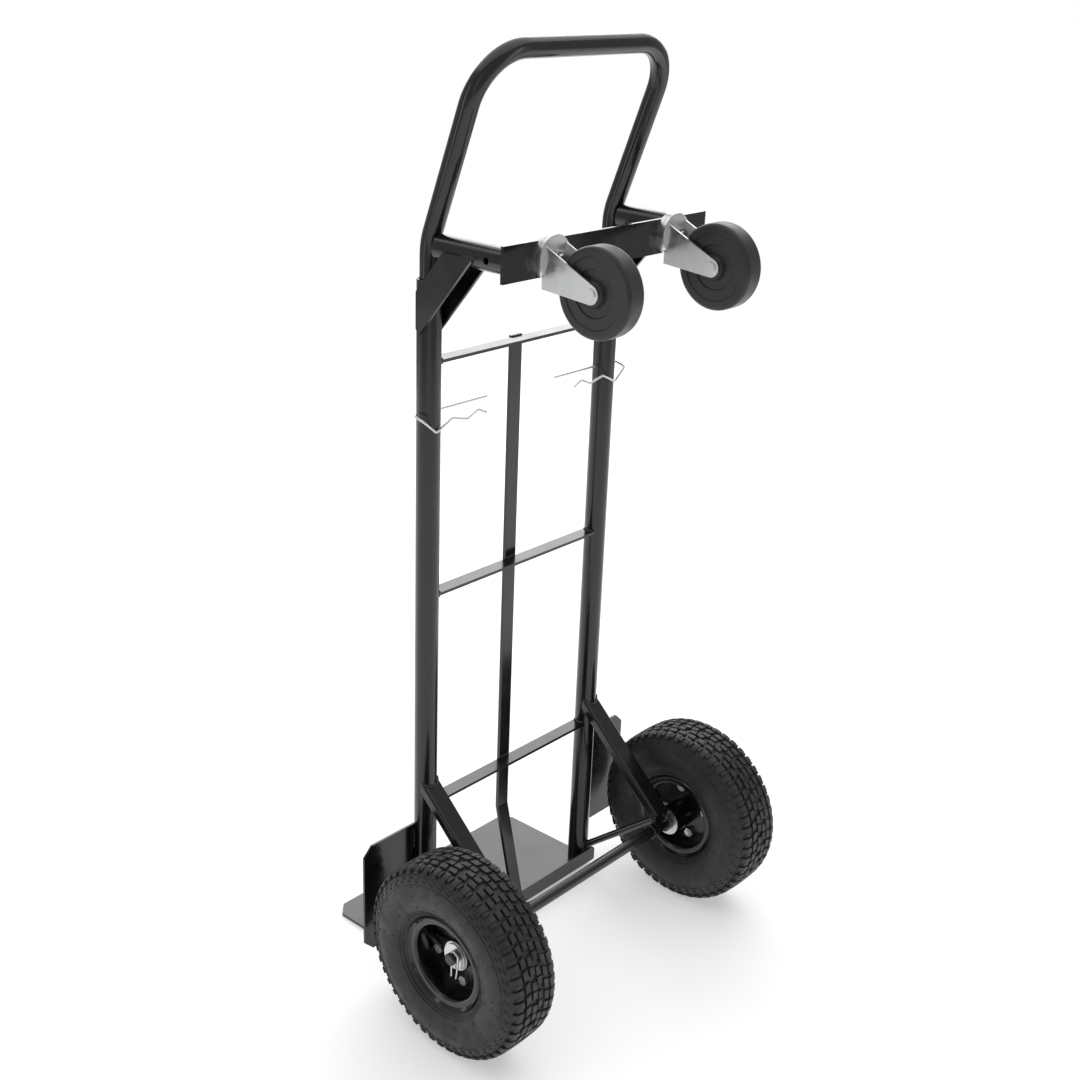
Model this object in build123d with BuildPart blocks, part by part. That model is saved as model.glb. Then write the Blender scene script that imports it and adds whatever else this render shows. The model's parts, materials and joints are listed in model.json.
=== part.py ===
from build123d import *
from math import cos, radians, sin, tan
import os

os.makedirs("parts", exist_ok=True)


def save(piece, name):
    """Moves a finished piece so that the origin is under the whole truck's middle, and writes it."""
    with BuildPart() as placed:
        with Locations((0, -MIDDLE_Y, 0)):
            add(piece.part)
    placed.part.label = name
    export_step(placed.part, f"parts/{name}.step")


# A two-in-one hand truck, standing upright on its toe plate and its two wheels.
# Millimetres. +X is the left-hand side of the person who pushes it, +Y points back towards
# that person, +Z is up. The origin is on the ground, midway between the two uprights.

# ---- Driving dimensions ----
TUBE_D = 29.6  # uprights and socket arms
TUBE_WALL = 1.8
UPRIGHT_X = 160.5
UPRIGHT_FOOT_Z = 12.0
UPRIGHT_TOP_Z = 943.5

HANDLE_D = 23.0
HANDLE_WALL = 1.6
HANDLE_FOOT_Z = 755.0
HANDLE_BEND_Z = 984.0
HANDLE_LEAN = 20.5  # degrees back from upright
HANDLE_TOP_Z = 1196.5
HANDLE_BEND_R = 80.0
HANDLE_CORNER_R = 62.0

BAR_W = 19.0  # flat bar of the straps and the centre bar
STRAP_T = 4.0
STRAP_TOPS = {"upper_strap": 848.0, "middle_strap": 551.0, "lower_strap": 251.0}
CENTRE_BAR_T = 5.0
CENTRE_BAR_BEND_Z = 172.0
CENTRE_BAR_FOOT_Z = 20.0

PLATE_T = 4.5  # toe plate
PLATE_HALF_W = 177.0
PLATE_FRONT_Y = -167.5
PLATE_BACK_Y = 19.3
PLATE_BACK_RISE = 5.0  # the plate slopes down to its front edge
FLANGE_TOP_Z = 32.5
FLANGE_CORNER_R = 6.0
PLATE_BEND_R = 2.5
PLATE_CORNER_CUT = 16.0

GUARD_T = 3.0
GUARD_Y = -10.0
GUARD_OUT_X = 260.0
GUARD_Z = (60.5, 219.5)
GUARD_CORNER_CUT = 14.0

WHEEL_R = 130.0
WHEEL_X = 235.0
AXLE_Y = 143.5
AXLE_D = 16.0
AXLE_END_X = 257.0

BRACE_W = 28.0
BRACE_H = 14.6
BRACE_WALL = 1.6
BRACE_CORNER_R = 3.5
BRACE_ANGLE = 42.0  # degrees below level, going back
BRACE_TOP_Z = 276.7  # height of the upper face where BRACE_TOP_Y is
BRACE_TOP_Y = 20.5
BRACE_END_Y = 150.5

STRUT_D = 10.5
STRUT_ANGLE = 39.7
STRUT_FOOT_Z = 40.3

ARM_Z = 981.5
ARM_MOUTH_Y = 17.5
PIN_HOLE_D = 8.0
PIN_HOLE_Y = 102.0

GUSSET_T = 4.0
GUSSET_W = 34.6
GUSSET_ANGLE = 50.4
GUSSET_FRONT_Y = -3.0
GUSSET_TIP_Z = 881.0

CROSSBAR_HALF_L = 180.0
CROSSBAR_FRONT_Y = 128.2
CROSSBAR_T = 3.9
CROSSBAR_Z = (961.3, 1002.4)

CASTER_X = 108.4
SWIVEL_Z = 984.0
CASTER_AXLE_Y = 209.2
CASTER_AXLE_Z = 956.8
CASTER_WHEEL_R = 50.8
CASTER_WHEEL_W = 27.0
KING_PIN_D = 10.0
CASTER_PIN_D = 9.0
FORK_T = 2.5
FORK_GAP = 32.0
SWIVEL_R = 25.0

CLIP_WIRE_D = 3.0
CLIP_Z = 785.0

RUNNING = 0.05  # radial clearance of a shaft that turns
SLIDING = 0.08  # radial clearance of the clip wire in its holes
CLEAR = 0.4  # gap between pieces that pass each other

SIDES = (("left", 1), ("right", -1))
TUBE_R = TUBE_D / 2
AXLE_R = AXLE_D / 2
AXLE_Z = WHEEL_R
MIDDLE_Y = (PLATE_FRONT_Y + AXLE_Y + WHEEL_R) / 2
CROSSBAR_BACK_Y = CROSSBAR_FRONT_Y + CROSSBAR_T

# ---- Uprights: round tube, cross-drilled for the handle clips ----
CLIP_HOLE_R = CLIP_WIRE_D / 2 + SLIDING

for side, sign in SIDES:
    with BuildPart() as upright:
        with BuildSketch(Plane.XY.offset(UPRIGHT_FOOT_Z)):
            with Locations((sign * UPRIGHT_X, 0)):
                Circle(TUBE_R)
                Circle(TUBE_R - TUBE_WALL, mode=Mode.SUBTRACT)
        extrude(amount=UPRIGHT_TOP_Z - UPRIGHT_FOOT_Z)
        with Locations((sign * UPRIGHT_X, 0, CLIP_Z)):
            Cylinder(CLIP_HOLE_R, 2 * TUBE_D, rotation=(0, 90, 0), mode=Mode.SUBTRACT)
    save(upright, f"{side}_upright")

# ---- Loop handle: one bent tube whose legs stand inside the uprights ----
handle_top_y = (HANDLE_TOP_Z - HANDLE_BEND_Z) * tan(radians(HANDLE_LEAN))

with BuildPart() as handle:
    with BuildLine() as handle_path:
        FilletPolyline(
            (UPRIGHT_X, 0, HANDLE_FOOT_Z),
            (UPRIGHT_X, 0, HANDLE_BEND_Z),
            (UPRIGHT_X, handle_top_y, HANDLE_TOP_Z),
            (-UPRIGHT_X, handle_top_y, HANDLE_TOP_Z),
            (-UPRIGHT_X, 0, HANDLE_BEND_Z),
            (-UPRIGHT_X, 0, HANDLE_FOOT_Z),
            radius=[HANDLE_BEND_R, HANDLE_CORNER_R, HANDLE_CORNER_R, HANDLE_BEND_R],
        )
    with BuildSketch(handle_path.line ^ 0):
        Circle(HANDLE_D / 2)
        Circle(HANDLE_D / 2 - HANDLE_WALL, mode=Mode.SUBTRACT)
    sweep()
    with Locations((UPRIGHT_X, 0, CLIP_Z), (-UPRIGHT_X, 0, CLIP_Z)):
        Cylinder(CLIP_HOLE_R, 2 * HANDLE_D, rotation=(0, 90, 0), mode=Mode.SUBTRACT)
save(handle, "handle")

# ---- Cross straps: flat bars between the uprights, coped to the tubes ----
for strap_name, top_z in STRAP_TOPS.items():
    with BuildPart() as strap:
        with BuildSketch(Plane.XY.offset(top_z - STRAP_T)):
            Rectangle(2 * UPRIGHT_X, BAR_W)
            with Locations((UPRIGHT_X, 0), (-UPRIGHT_X, 0)):
                Circle(TUBE_R, mode=Mode.SUBTRACT)
        extrude(amount=STRAP_T)
    save(strap, strap_name)

# ---- Centre bar: against the front edges of the straps, then bent back over the toe flange ----
bar_back_y = CENTRE_BAR_T - TUBE_R
BAR_STANDS_PROUD = 1.5
BAR_BEND_ABOVE_FLANGE = 2.0
bar_top_z = STRAP_TOPS["upper_strap"] + BAR_STANDS_PROUD

with BuildPart() as centre_bar:
    with BuildSketch(Plane.YZ):
        with BuildLine():
            back_edge = Polyline(
                (bar_back_y, bar_top_z),
                (bar_back_y, CENTRE_BAR_BEND_Z),
                (PLATE_BACK_Y + CENTRE_BAR_T, FLANGE_TOP_Z + BAR_BEND_ABOVE_FLANGE),
                (PLATE_BACK_Y + CENTRE_BAR_T, CENTRE_BAR_FOOT_Z),
            )
            offset(back_edge, amount=CENTRE_BAR_T, side=Side.RIGHT)
        make_face()
    extrude(amount=BAR_W / 2, both=True)
save(centre_bar, "centre_bar")

# ---- Toe plate: one bent plate with a raised rear flange ----
inner_bend = (PLATE_BACK_Y - PLATE_T, PLATE_BACK_RISE + PLATE_T)

with BuildPart() as toe_plate:
    with BuildSketch(Plane.YZ) as plate_side:
        with BuildLine():
            Polyline(
                (PLATE_FRONT_Y, 0),
                (PLATE_BACK_Y, PLATE_BACK_RISE),
                (PLATE_BACK_Y, FLANGE_TOP_Z),
                (PLATE_BACK_Y - PLATE_T, FLANGE_TOP_Z),
                inner_bend,
                (PLATE_FRONT_Y, PLATE_T),
                close=True,
            )
        make_face()
        fillet(plate_side.vertices().sort_by_distance(inner_bend)[0], PLATE_BEND_R)
        fillet(
            plate_side.vertices().sort_by_distance((PLATE_BACK_Y, PLATE_BACK_RISE))[0],
            PLATE_BEND_R + PLATE_T,
        )
    extrude(amount=PLATE_HALF_W, both=True)
    upright_edges = toe_plate.edges().filter_by(Axis.Z)
    chamfer(upright_edges.group_by(Axis.Y)[0], PLATE_CORNER_CUT)
    flange_edges = toe_plate.edges().filter_by(Axis.Y).group_by(Axis.Z)[-1]
    fillet(flange_edges, FLANGE_CORNER_R)
save(toe_plate, "toe_plate")

# ---- Wheel guards: flat plates on the outer sides of the uprights, in front of the wheels ----
guard_height = GUARD_Z[1] - GUARD_Z[0]

for side, sign in SIDES:
    with BuildPart() as guard:
        with BuildSketch(Plane.XZ.offset(-GUARD_Y)) as guard_face:
            with Locations((sign * (UPRIGHT_X + GUARD_OUT_X) / 2, sum(GUARD_Z) / 2)):
                Rectangle(GUARD_OUT_X - UPRIGHT_X, guard_height)
            outer_corners = guard_face.vertices().group_by(Axis.X)[-1 if sign > 0 else 0]
            chamfer(outer_corners, GUARD_CORNER_CUT)
        extrude(amount=GUARD_T / 2, both=True)
        with Locations((sign * UPRIGHT_X, 0, sum(GUARD_Z) / 2)):
            Cylinder(TUBE_R, 2 * guard_height, mode=Mode.SUBTRACT)
    save(guard, f"{side}_wheel_guard")

# ---- Axle: a solid bar right across, with washers, spacers and hairpin cotters at its ends ----
HUB_IN_X = 183.0
HUB_OUT_X = 245.0
WASHER_T = 2.4
WASHER_R = 17.5
SPACER_R = 12.0
COTTER_WIRE_D = 2.6
COTTER_X = 252.0
COTTER_LEG = 26.0
AXLE_CHAMFER = 1.2
axle_at = (0, AXLE_Y, AXLE_Z)

with BuildPart() as axle:
    with Locations(axle_at):
        Cylinder(AXLE_R, 2 * AXLE_END_X, rotation=(0, 90, 0))
    chamfer(axle.edges().filter_by(GeomType.CIRCLE), AXLE_CHAMFER)
    with Locations((COTTER_X, AXLE_Y, AXLE_Z), (-COTTER_X, AXLE_Y, AXLE_Z)):
        Cylinder(COTTER_WIRE_D / 2, 2 * AXLE_D, mode=Mode.SUBTRACT)
save(axle, "axle")

with BuildPart() as axle_spacers:
    for sign in (1, -1):
        spacer_in = UPRIGHT_X + BRACE_W / 2
        spacer_len = HUB_IN_X - CLEAR - spacer_in
        with BuildSketch(Plane.YZ.offset(sign * spacer_in)):
            with Locations((AXLE_Y, AXLE_Z)):
                Circle(SPACER_R)
                Circle(AXLE_R, mode=Mode.SUBTRACT)
        extrude(amount=sign * spacer_len)
save(axle_spacers, "axle_spacers")

with BuildPart() as axle_washers:
    for sign in (1, -1):
        with BuildSketch(Plane.YZ.offset(sign * (HUB_OUT_X + CLEAR))):
            with Locations((AXLE_Y, AXLE_Z)):
                Circle(WASHER_R)
                Circle(AXLE_R, mode=Mode.SUBTRACT)
        extrude(amount=sign * WASHER_T)
save(axle_washers, "axle_washers")

with BuildPart() as axle_cotters:
    for sign in (1, -1):
        with BuildLine(Plane.YZ.offset(sign * COTTER_X)) as cotter_path:
            cotter_top = AXLE_Z + AXLE_R + COTTER_WIRE_D
            FilletPolyline(
                (AXLE_Y, AXLE_Z - COTTER_LEG),
                (AXLE_Y, cotter_top + COTTER_WIRE_D),
                (AXLE_Y + AXLE_R + COTTER_WIRE_D, cotter_top - COTTER_WIRE_D),
                (AXLE_Y + AXLE_R + COTTER_WIRE_D, AXLE_Z - AXLE_R),
                (AXLE_Y + AXLE_R, AXLE_Z - COTTER_LEG),
                radius=COTTER_WIRE_D,
            )
        with BuildSketch(cotter_path.line ^ 0):
            Circle(COTTER_WIRE_D / 2)
        sweep(path=cotter_path.line)
save(axle_cotters, "axle_cotters")

# ---- Braces: flat-sided tube from the backs of the uprights down to the axle ----
brace_dir = Vector(0, cos(radians(BRACE_ANGLE)), -sin(radians(BRACE_ANGLE)))
brace_up = Vector(0, sin(radians(BRACE_ANGLE)), cos(radians(BRACE_ANGLE)))
BRACE_REACH = 30.0
BRACE_LENGTH = 240.0

for side, sign in SIDES:
    upper_line = Vector(sign * UPRIGHT_X, BRACE_TOP_Y, BRACE_TOP_Z)
    brace_start = upper_line - brace_up * (BRACE_H / 2) - brace_dir * BRACE_REACH
    with BuildPart() as brace:
        with BuildSketch(Plane(origin=brace_start, x_dir=(1, 0, 0), z_dir=brace_dir)):
            RectangleRounded(BRACE_W, BRACE_H, BRACE_CORNER_R)
            RectangleRounded(
                BRACE_W - 2 * BRACE_WALL,
                BRACE_H - 2 * BRACE_WALL,
                BRACE_CORNER_R - BRACE_WALL,
                mode=Mode.SUBTRACT,
            )
        extrude(amount=BRACE_LENGTH)
        split(bisect_by=Plane.XZ.offset(-BRACE_END_Y), keep=Keep.TOP)
        split(bisect_by=Plane.XZ, keep=Keep.BOTTOM)
        with Locations((sign * UPRIGHT_X, 0, BRACE_TOP_Z)):
            Cylinder(TUBE_R, BRACE_LENGTH, mode=Mode.SUBTRACT)
        with Locations(axle_at):
            Cylinder(AXLE_R, 2 * AXLE_END_X, rotation=(0, 90, 0), mode=Mode.SUBTRACT)
    save(brace, f"{side}_brace")

# ---- Struts: round bars from the feet of the uprights up to the axle, under the braces ----
strut_dir = Vector(0, cos(radians(STRUT_ANGLE)), sin(radians(STRUT_ANGLE)))
STRUT_LENGTH = 230.0

for side, sign in SIDES:
    strut_foot = Vector(sign * UPRIGHT_X, TUBE_R, STRUT_FOOT_Z) - strut_dir * TUBE_R
    under_brace = Vector(sign * UPRIGHT_X, BRACE_TOP_Y, BRACE_TOP_Z) - brace_up * BRACE_H
    with BuildPart() as strut:
        with BuildSketch(Plane(origin=strut_foot, x_dir=(1, 0, 0), z_dir=strut_dir)):
            Circle(STRUT_D / 2)
        extrude(amount=STRUT_LENGTH)
        split(bisect_by=Plane(origin=under_brace, z_dir=brace_up), keep=Keep.BOTTOM)
        with Locations((sign * UPRIGHT_X, 0, STRUT_FOOT_Z)):
            Cylinder(TUBE_R, STRUT_LENGTH, mode=Mode.SUBTRACT)
        with Locations(axle_at):
            Cylinder(AXLE_R, 2 * AXLE_END_X, rotation=(0, 90, 0), mode=Mode.SUBTRACT)
    save(strut, f"{side}_strut")

# ---- Socket arms: level tubes, open at the front, that take the handle in cart mode ----
for side, sign in SIDES:
    with BuildPart() as arm:
        with BuildSketch(Plane.XZ.offset(-ARM_MOUTH_Y)):
            with Locations((sign * UPRIGHT_X, ARM_Z)):
                Circle(TUBE_R)
                Circle(TUBE_R - TUBE_WALL, mode=Mode.SUBTRACT)
        extrude(amount=ARM_MOUTH_Y - CROSSBAR_FRONT_Y)
        with Locations((sign * UPRIGHT_X, PIN_HOLE_Y, ARM_Z)):
            Cylinder(PIN_HOLE_D / 2, 2 * TUBE_D, rotation=(0, 90, 0), mode=Mode.SUBTRACT)
    save(arm, f"{side}_socket_arm")

# ---- Gussets: strips of flat bar, one on each side of each arm, that carry it ----
gusset_run = 1 / tan(radians(GUSSET_ANGLE))
gusset_rise = GUSSET_W / cos(radians(GUSSET_ANGLE))
GUSSET_TIP_Y = 2.0
GUSSET_NOSE = 6.0  # height of the cut corner at the tip
GUSSET_HEEL = 5.0  # height trimmed off the top front corner
gusset_reach = ARM_Z - GUSSET_TIP_Z
gusset_heel_z = GUSSET_TIP_Z + gusset_rise - GUSSET_HEEL

with BuildSketch() as gusset_face:
    with BuildLine():
        Polyline(
            (GUSSET_FRONT_Y, gusset_heel_z),
            (GUSSET_FRONT_Y, GUSSET_TIP_Z + GUSSET_NOSE),
            (GUSSET_TIP_Y, GUSSET_TIP_Z),
            (GUSSET_TIP_Y + gusset_reach * gusset_run, ARM_Z),
            (GUSSET_FRONT_Y + (ARM_Z - gusset_heel_z) * gusset_run, ARM_Z),
            close=True,
        )
    make_face()

for side, sign in SIDES:
    for place, flank in (("outer", 1), ("inner", -1)):
        inside_x = sign * (UPRIGHT_X + flank * TUBE_R)
        with BuildPart() as gusset:
            with BuildSketch(Plane.YZ.offset(inside_x)):
                add(gusset_face.sketch)
            extrude(amount=sign * flank * GUSSET_T)
        save(gusset, f"{side}_{place}_gusset")

# ---- Caster crossbar: flat bar that closes the arms and carries the casters ----
with BuildPart() as crossbar:
    with BuildSketch(Plane.XZ.offset(-CROSSBAR_FRONT_Y)):
        with Locations((0, sum(CROSSBAR_Z) / 2)):
            Rectangle(2 * CROSSBAR_HALF_L, CROSSBAR_Z[1] - CROSSBAR_Z[0])
        with Locations((CASTER_X, SWIVEL_Z), (-CASTER_X, SWIVEL_Z)):
            Circle(KING_PIN_D / 2, mode=Mode.SUBTRACT)
    extrude(amount=-CROSSBAR_T)
save(crossbar, "caster_crossbar")

# ---- Road wheels: pneumatic tyre and tube on a split pressed rim bolted round a hub ----
TYRE_W = 88.0
TYRE_WALL = 7.0
TYRE_TREAD_T = 10.0
TREAD_HALF_W = 30.0
BEAD_R = 52.0
BEAD_HALF_W = 29.0
BEAD_TOE = 3.0
BEAD_H = 8.0  # height of the straight bead below the side wall
WALL_MID_LIFT = 8.0  # the side wall is widest this far above the section's middle
TUBE_WALL_T = 2.5
RIM_T = 2.2
RIM_FLANGE_R = 63.0
RIM_LIP_R = 4.0
RIM_WELL_R = 48.0
HUB_R = 20.0
HUB_BORE_R = 13.0
BEARING_R = 17.5
BEARING_W = 11.0
BEARING_FLANGE_R = 19.5
BEARING_FLANGE_T = 1.6
RIM_BOLT_CIRCLE_R = 36.0
RIM_BOLT_D = 8.0
RIM_BOLTS = 4
RIM_BOLT_PHASE = 15.0
BOLT_HEAD_R = 7.0
BOLT_HEAD_T = 5.0
STEM_D = 8.0
STEM_CAP_D = 6.4
STEM_BORE_D = 2.5
STEM_HOLE_GAP = 1.0
STEM_CAP_L = 9.0
STEM_ANGLE = 172.0
STEM_TIP_R = 22.0
STEM_LEAN = 6.0

section_mid_r = (WHEEL_R + BEAD_R) / 2
section_half_w = TYRE_W / 2


def mirrored(piece, name):
    """The right-hand twin of a left-hand piece, with its own name."""
    with BuildPart() as twin:
        mirror(piece.part, about=Plane.YZ)
    save(twin, name)


def wheel_profile_plane(x):
    """Sketch plane through the axle: local x runs outboard, local y is the radius."""
    return Plane(origin=(x, AXLE_Y, AXLE_Z), x_dir=(1, 0, 0), z_dir=(0, -1, 0))


wheel_plane = wheel_profile_plane(WHEEL_X)
wheel_axis = Axis((WHEEL_X, AXLE_Y, AXLE_Z), (1, 0, 0))

# The tyre carcass is open between its beads.
with BuildPart() as left_tyre:
    with BuildSketch(wheel_plane):
        with BuildLine():
            tread = Line((-TREAD_HALF_W, WHEEL_R), (TREAD_HALF_W, WHEEL_R))
            right_wall = ThreePointArc(
                tread @ 1,
                (section_half_w, section_mid_r + WALL_MID_LIFT),
                (BEAD_HALF_W, BEAD_R + BEAD_H),
            )
            right_bead = Polyline(
                right_wall @ 1,
                (BEAD_HALF_W, BEAD_R + BEAD_TOE),
                (BEAD_HALF_W - BEAD_TOE, BEAD_R),
                (BEAD_HALF_W - TYRE_WALL, BEAD_R),
                (BEAD_HALF_W - TYRE_WALL, BEAD_R + BEAD_H),
            )
            inside = ThreePointArc(
                right_bead @ 1,
                (0, WHEEL_R - TYRE_TREAD_T),
                (TYRE_WALL - BEAD_HALF_W, BEAD_R + BEAD_H),
            )
            left_bead = Polyline(
                inside @ 1,
                (TYRE_WALL - BEAD_HALF_W, BEAD_R),
                (BEAD_TOE - BEAD_HALF_W, BEAD_R),
                (-BEAD_HALF_W, BEAD_R + BEAD_TOE),
                (-BEAD_HALF_W, BEAD_R + BEAD_H),
            )
            ThreePointArc(left_bead @ 1, (-section_half_w, section_mid_r + WALL_MID_LIFT), tread @ 0)
        make_face()
    revolve(axis=wheel_axis)
save(left_tyre, "left_tyre")
mirrored(left_tyre, "right_tyre")

# The inner tube fills the carcass; its valve stem leans out of the dish of the rim.
CAVITY_R = 34.0
CAVITY_MID_R = 86.0
TUBE_GAP = 0.8
tube_r = CAVITY_R - TUBE_GAP
stem_dir = (0, cos(radians(STEM_ANGLE)), sin(radians(STEM_ANGLE)))
stem_foot_r = CAVITY_MID_R - tube_r + TUBE_WALL_T
stem_foot_x = WHEEL_X + STEM_LEAN
stem_foot = Vector(stem_foot_x, AXLE_Y, AXLE_Z) + Vector(*stem_dir) * stem_foot_r
stem_tip = Vector(stem_foot_x + STEM_LEAN, AXLE_Y, AXLE_Z) + Vector(*stem_dir) * STEM_TIP_R
stem_plane = Plane(origin=stem_foot, z_dir=stem_tip - stem_foot)
stem_length = (stem_tip - stem_foot).length

TUBE_FACETS = 24

with BuildPart() as left_inner_tube:
    with BuildSketch(wheel_plane):
        with Locations((0, CAVITY_MID_R)):
            RegularPolygon(tube_r, TUBE_FACETS)
            RegularPolygon(tube_r - TUBE_WALL_T, TUBE_FACETS, mode=Mode.SUBTRACT)
    revolve(axis=wheel_axis)
save(left_inner_tube, "left_inner_tube")
mirrored(left_inner_tube, "right_inner_tube")

with BuildPart() as left_valve_stem:
    with BuildSketch(stem_plane):
        Circle(STEM_D / 2)
        Circle(STEM_BORE_D / 2, mode=Mode.SUBTRACT)
    extrude(amount=stem_length - STEM_CAP_L)
    with BuildSketch(stem_plane):
        Circle(STEM_CAP_D / 2)
        Circle(STEM_BORE_D / 2, mode=Mode.SUBTRACT)
    extrude(amount=stem_length)
save(left_valve_stem, "left_valve_stem")
mirrored(left_valve_stem, "right_valve_stem")

# The two rim halves meet web to web in the middle plane of the wheel.
SEAT_GAP = 0.1
RIM_BEND_R = 2.5
WELL_WALL = 2.0
seat_r = BEAD_R - SEAT_GAP
flange_x = BEAD_HALF_W + SEAT_GAP
bolt_angles = [RIM_BOLT_PHASE + 360 / RIM_BOLTS * i for i in range(RIM_BOLTS)]
bolt_spots = [
    (AXLE_Y + RIM_BOLT_CIRCLE_R * cos(radians(a)), AXLE_Z + RIM_BOLT_CIRCLE_R * sin(radians(a)))
    for a in bolt_angles
]

for half, outward in (("outer", 1), ("inner", -1)):
    with BuildPart() as rim:
        with BuildSketch(wheel_plane):
            with BuildLine():
                tyre_side = FilletPolyline(
                    (0, HUB_R),
                    (0, RIM_WELL_R + WELL_WALL),
                    (outward * flange_x, seat_r),
                    (outward * flange_x, RIM_FLANGE_R - RIM_LIP_R),
                    (outward * (flange_x + RIM_LIP_R), RIM_FLANGE_R),
                    radius=RIM_BEND_R,
                )
                offset(tyre_side, amount=RIM_T, side=Side.RIGHT if outward > 0 else Side.LEFT)
            make_face()
        revolve(axis=wheel_axis)
        for y, z in bolt_spots:
            with Locations((WHEEL_X, y, z)):
                Cylinder(RIM_BOLT_D / 2, 4 * RIM_T, rotation=(0, 90, 0), mode=Mode.SUBTRACT)
        if half == "outer":
            with BuildSketch(stem_plane):
                Circle(STEM_D / 2 + STEM_HOLE_GAP)
            extrude(amount=stem_length, mode=Mode.SUBTRACT)
    save(rim, f"left_{half}_rim")
    mirrored(rim, f"right_{half}_rim")

with BuildPart() as left_hub:
    with BuildSketch(wheel_plane):
        with BuildLine():
            hub_in = HUB_IN_X - WHEEL_X + BEARING_FLANGE_T
            hub_out = HUB_OUT_X - WHEEL_X - BEARING_FLANGE_T
            pocket = BEARING_W - BEARING_FLANGE_T
            Polyline(
                (hub_in, HUB_R),
                (hub_out, HUB_R),
                (hub_out, BEARING_R),
                (hub_out - pocket, BEARING_R),
                (hub_out - pocket, HUB_BORE_R),
                (hub_in + pocket, HUB_BORE_R),
                (hub_in + pocket, BEARING_R),
                (hub_in, BEARING_R),
                close=True,
            )
        make_face()
    revolve(axis=wheel_axis)
save(left_hub, "left_hub")
mirrored(left_hub, "right_hub")

with BuildPart() as left_wheel_bearings:
    for end_x, inward in ((HUB_IN_X, 1), (HUB_OUT_X, -1)):
        for ring_r, width in ((BEARING_R, BEARING_W), (BEARING_FLANGE_R, BEARING_FLANGE_T)):
            with BuildSketch(Plane.YZ.offset(end_x)):
                with Locations((AXLE_Y, AXLE_Z)):
                    Circle(ring_r)
                    Circle(AXLE_R + RUNNING, mode=Mode.SUBTRACT)
            extrude(amount=inward * width)
save(left_wheel_bearings, "left_wheel_bearings")
mirrored(left_wheel_bearings, "right_wheel_bearings")

NUT_T = 6.5
BOLT_TIP = 2.5
with BuildPart() as left_rim_bolts:
    for y, z in bolt_spots:
        with BuildSketch(Plane.YZ.offset(WHEEL_X + RIM_T)):
            with Locations((y, z)):
                RegularPolygon(BOLT_HEAD_R, 6)
        extrude(amount=BOLT_HEAD_T)
        with BuildSketch(Plane.YZ.offset(WHEEL_X + RIM_T)):
            with Locations((y, z)):
                Circle(RIM_BOLT_D / 2)
        extrude(amount=-(2 * RIM_T + NUT_T + BOLT_TIP))
save(left_rim_bolts, "left_rim_bolts")
mirrored(left_rim_bolts, "right_rim_bolts")

with BuildPart() as left_rim_nuts:
    for y, z in bolt_spots:
        with BuildSketch(Plane.YZ.offset(WHEEL_X - RIM_T)):
            with Locations((y, z)):
                RegularPolygon(BOLT_HEAD_R, 6)
                Circle(RIM_BOLT_D / 2, mode=Mode.SUBTRACT)
        extrude(amount=-NUT_T)
save(left_rim_nuts, "left_rim_nuts")
mirrored(left_rim_nuts, "right_rim_nuts")

# ---- Casters: each swivels about a king pin through the crossbar and trails downwards ----
RACE_T = 2.0
BALL_R = 3.0
BALL_PITCH_R = 17.0
BALLS = 12
LIP_T = 2.0
PIN_HEAD_R = 8.5
PIN_HEAD_T = 5.0
KING_PIN_TIP = 2.0
KING_NUT_R = 9.8
KING_NUT_T = 8.0
FORK_TOP_Z = 1000.0
FORK_LOW_Z = 951.0
FORK_END_R = 10.9
RIVET_HEAD_R = 7.0
RIVET_HEAD_T = 2.0
SLEEVE_R = 7.0

race_back_y = CROSSBAR_BACK_Y + RACE_T
ball_y = race_back_y + CLEAR + BALL_R
fork_front_y = ball_y + BALL_R
fork_back_y = fork_front_y + FORK_T
swivel_axis = Axis((CASTER_X, 0, SWIVEL_Z), (0, 1, 0))
swivel_plane = Plane(origin=(CASTER_X, 0, SWIVEL_Z), x_dir=(1, 0, 0), z_dir=(0, 0, 1))
king_pin_r = KING_PIN_D / 2

with BuildPart() as left_swivel_race:
    with BuildSketch(swivel_plane):
        with BuildLine():
            Polyline(
                (king_pin_r, CROSSBAR_BACK_Y),
                (SWIVEL_R, CROSSBAR_BACK_Y),
                (SWIVEL_R, ball_y),
                (SWIVEL_R - LIP_T, ball_y),
                (SWIVEL_R - LIP_T, race_back_y),
                (king_pin_r, race_back_y),
                close=True,
            )
        make_face()
    revolve(axis=swivel_axis)
save(left_swivel_race, "left_swivel_race")
mirrored(left_swivel_race, "right_swivel_race")

king_pin_spots = ((CASTER_X, SWIVEL_Z), (-CASTER_X, SWIVEL_Z))

with BuildPart() as king_pins:
    with BuildSketch(Plane.XZ.offset(-CROSSBAR_FRONT_Y)):
        with Locations(*king_pin_spots):
            Circle(PIN_HEAD_R)
    extrude(amount=PIN_HEAD_T)
    with BuildSketch(Plane.XZ.offset(-CROSSBAR_FRONT_Y)):
        with Locations(*king_pin_spots):
            Circle(king_pin_r)
    extrude(amount=CROSSBAR_FRONT_Y - fork_back_y - KING_NUT_T - KING_PIN_TIP)
    round_edges = king_pins.edges().filter_by(GeomType.CIRCLE).group_by(Axis.Y)
    chamfer(round_edges[-1], KING_PIN_TIP / 2)
    fillet(round_edges[0], PIN_HEAD_T / 2)
save(king_pins, "king_pins")

with BuildPart() as king_nuts:
    with BuildSketch(Plane.XZ.offset(-fork_back_y - CLEAR)):
        with Locations(*king_pin_spots):
            RegularPolygon(KING_NUT_R, 6)
            Circle(king_pin_r, mode=Mode.SUBTRACT)
    extrude(amount=-KING_NUT_T)
save(king_nuts, "king_nuts")

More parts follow.
